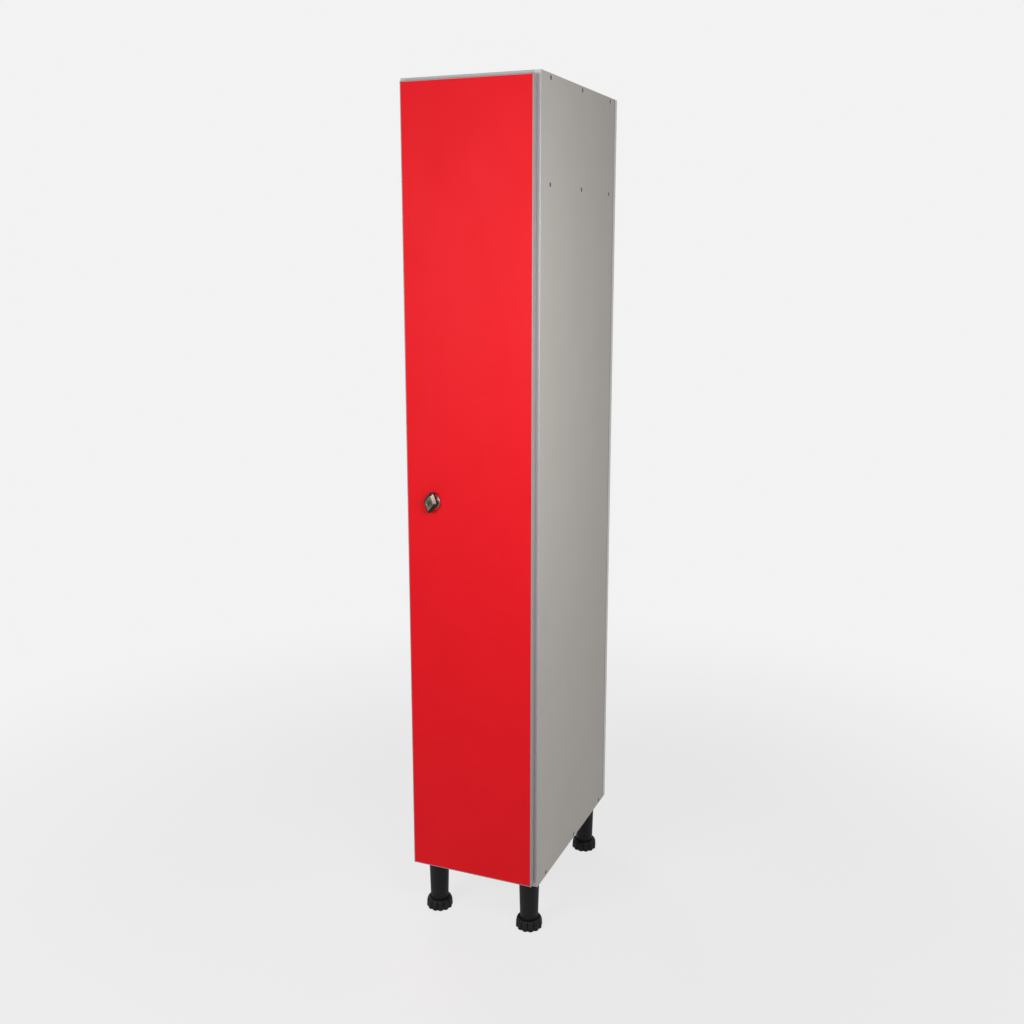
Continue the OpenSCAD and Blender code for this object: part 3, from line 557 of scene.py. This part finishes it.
# Levelling feet: lobed skirt, dome, bore for the tube, and the threaded stem
footLook = {
    "radius": 0.030, "lobes": 12, "lobe": 0.007, "height": 0.024, "sharp": 50, "soleMiddle": 0.004,
    "soleEdge": ((0.0022, 0.0), (0.0012, 0.0002), (0.0004, 0.0008), (0.0, 0.0018)),    # inset, height
    "wall": 0.006, "band": 0.010,                  # the skirt's upright wall, and where the dome starts
    "domeSteps": 12, "blend": 0.0006,
    "bore": 0.02105, "collar": 0.02405, "collarRound": 0.001, "chamfer": 0.0008, "fillet": 0.001,
    "floor": 0.006, "stem": 0.008, "stemRoot": 0.0002, "stemTop": 0.066, "tip": (0.0003, 0.0015, 0.001),
    "pitch": 0.003, "threadDeep": 0.0007, "threadEnd": 0.002, "threadSteps": 8,
}


def footShape(x, y, around=288):
    # In plan a point on a lobed circle at the angle a is at c cos b + sqrt(l^2 - (c sin b)^2) from the
    # middle, with b the angle to the nearest lobe, c the circle of the lobes' middles and l their radius.
    # Up the dome the lobes fade out: the radius is the smaller of the lobed one and the dome's, blended.
    k = footLook
    a = np.linspace(0, 2 * np.pi, around, endpoint=False)
    step = 2 * np.pi / k["lobes"]
    b = (a + step / 2) % step - step / 2
    c = k["radius"] - k["lobe"]
    lobed = c * np.cos(b) + np.sqrt(k["lobe"] ** 2 - (c * np.sin(b)) ** 2)
    spoke = np.stack([np.cos(a), np.sin(a), 0 * a], -1)

    def ring(radius, z):
        return np.array([x, y, z]) + np.broadcast_to(radius, a.shape)[:, None] * spoke

    rings = [ring(k["soleMiddle"], 0.0)]
    rings += [ring(lobed - inset, height) for inset, height in k["soleEdge"]]
    rings.append(ring(lobed, k["wall"]))
    for t in np.linspace(0, 1, k["domeSteps"] + 1):
        z = k["wall"] + (k["height"] - k["wall"]) * math.sin(t * math.pi / 2)
        rise = max(0.0, (z - k["band"]) / (k["height"] - k["band"]))
        dome = k["collar"] + (k["radius"] - k["collar"]) * math.sqrt(1 - rise ** 2)
        gap = lobed - dome
        rings.append(ring(dome + 0.5 * (gap - np.sqrt(gap ** 2 + k["blend"] ** 2)), z))
    rings += [ring(k["collar"] - k["collarRound"], k["height"]),
              ring(k["bore"] + k["chamfer"], k["height"]),
              ring(k["bore"], k["height"] - k["chamfer"]),
              ring(k["bore"], k["floor"] + k["fillet"]),
              ring(k["bore"] - k["fillet"], k["floor"]),
              ring(k["stem"] + k["fillet"], k["floor"]),
              ring(k["stem"] - k["stemRoot"], k["floor"] + k["fillet"])]
    low = k["floor"] + k["threadEnd"]
    high = k["stemTop"] - k["threadEnd"]
    for z in np.arange(low, high, k["pitch"] / k["threadSteps"]):  # a ridge that climbs one pitch a turn
        fade = min(1.0, (z - low) / k["pitch"], (high - z) / k["pitch"])
        wave = 0.5 - 0.5 * np.cos(2 * np.pi * z / k["pitch"] - a)
        rings.append(ring(k["stem"] - k["threadDeep"] * fade * wave, z))
    tipStart, tipInset, tipMiddle = k["tip"]
    rings += [ring(k["stem"] - tipStart, high), ring(k["stem"] - tipInset, k["stemTop"]),
              ring(tipMiddle, k["stemTop"])]
    return np.array(rings)


for corner in corners:
    tubeLow, tubeHigh = (np.array(end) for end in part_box("leg_tube_" + corner))
    middleX, middleY = (tubeLow + tubeHigh)[:2] / 2
    makePiece("lobedFoot_" + corner, [footShape(middleX, middleY)], slotFinish["leg_plastic"],
              "foot_" + corner, "leg_foot_" + corner, footLook["sharp"])
print("feet made")


# Studio: a pale floor that fades into the world, a broad key in front, two fills at the right, one behind
studio = {
    "floorTone": (0.9, 0.9, 0.9), "worldTone": (0.89, 0.89, 0.89), "worldLight": 0.15,
    "floorGlow": 0.82, "fadeFrom": 0.6, "fadeTo": 2.2, "floorSize": 30,
    "lamps": [
        {"name": "key", "place": (-0.62, -2.3, 1.5), "aim": (0, 0, 1.1), "size": 0.9, "watts": 24.4},
        {"name": "front", "place": (0.9, -1.2, 1.52), "aim": (0.1, 0, 1.3), "size": 0.6, "watts": 7.7},
        {"name": "side", "place": (1.1, -0.9, 1.2), "aim": (0.1, 0, 1.2), "size": 0.7, "watts": 3.3},
        {"name": "back", "place": (-1.5, 1.5, 2.6), "aim": (0, 0, 1.0), "size": 1.4, "watts": 20},
    ],
}


def seenDirectly(p):
    # 1 where the camera looks, also by way of metal and glass, and 0 for the light on the object
    camera, glossy, through = (p.node("ShaderNodeLightPath", out=kind)
                               for kind in ("Is Camera Ray", "Is Glossy Ray", "Is Transmission Ray"))
    return p.math("MINIMUM", 1.0, camera + glossy + through)


def makeFloor():
    bpy.ops.mesh.primitive_plane_add(size=studio["floorSize"])
    floor = bpy.context.object
    floor.name = "paleFloor"
    p = newPaint("paleFloor")
    x, y = p.place()[:2]
    far = p.ramp((x ** 2 + y ** 2) ** 0.5, studio["fadeFrom"], studio["fadeTo"], studio["floorGlow"])
    matte = p.node("ShaderNodeBsdfDiffuse", {}, {"Color": studio["floorTone"]})
    glow = p.node("ShaderNodeEmission", {}, {"Color": studio["worldTone"], "Strength": 1.0})
    shader = p.node("ShaderNodeMixShader", {}, {0: far * seenDirectly(p), 1: matte, 2: glow})
    p.node("ShaderNodeOutputMaterial", {}, {"Surface": shader})
    floor.data.materials.append(p.owner)


def makeWorld():
    scene.world = bpy.data.worlds.new("softWorld")
    p = Paint(scene.world)
    strength = studio["worldLight"] + seenDirectly(p) * (1 - studio["worldLight"])
    sky = p.node("ShaderNodeBackground", {}, {"Color": studio["worldTone"], "Strength": strength})
    p.node("ShaderNodeOutputWorld", {}, {"Surface": sky})


def makeLamp(lamp):
    light = bpy.data.lights.new(lamp["name"], "AREA")
    light.shape = "DISK"
    light.size = lamp["size"]
    light.energy = lamp["watts"]
    made = bpy.data.objects.new(lamp["name"], light)
    scene.collection.objects.link(made)
    made.location = lamp["place"]
    made.rotation_euler = (Vector(lamp["aim"]) - made.location).to_track_quat("-Z", "Y").to_euler()
    made.visible_camera = False


makeFloor()
makeWorld()
for lamp in studio["lamps"]:
    makeLamp(lamp)
scene.view_settings.view_transform = "Standard"
print("studio made")


# Camera: found by fitting the locker's corners to the photograph
cameraLook = {
    "place": (0.9662, -2.3507, 1.4826), "yaw": 22.363, "pitch": -11.89,
    "lens": 40.22, "sensor": 36, "rise": -0.0137,
}
optics = bpy.data.cameras.new("camera")
optics.lens = cameraLook["lens"]
optics.sensor_width = cameraLook["sensor"]
optics.shift_y = cameraLook["rise"]
camera = bpy.data.objects.new("camera", optics)
scene.collection.objects.link(camera)
camera.location = cameraLook["place"]
camera.rotation_euler = (math.radians(90 + cameraLook["pitch"]), 0, math.radians(cameraLook["yaw"]))
scene.camera = camera
print("camera set")
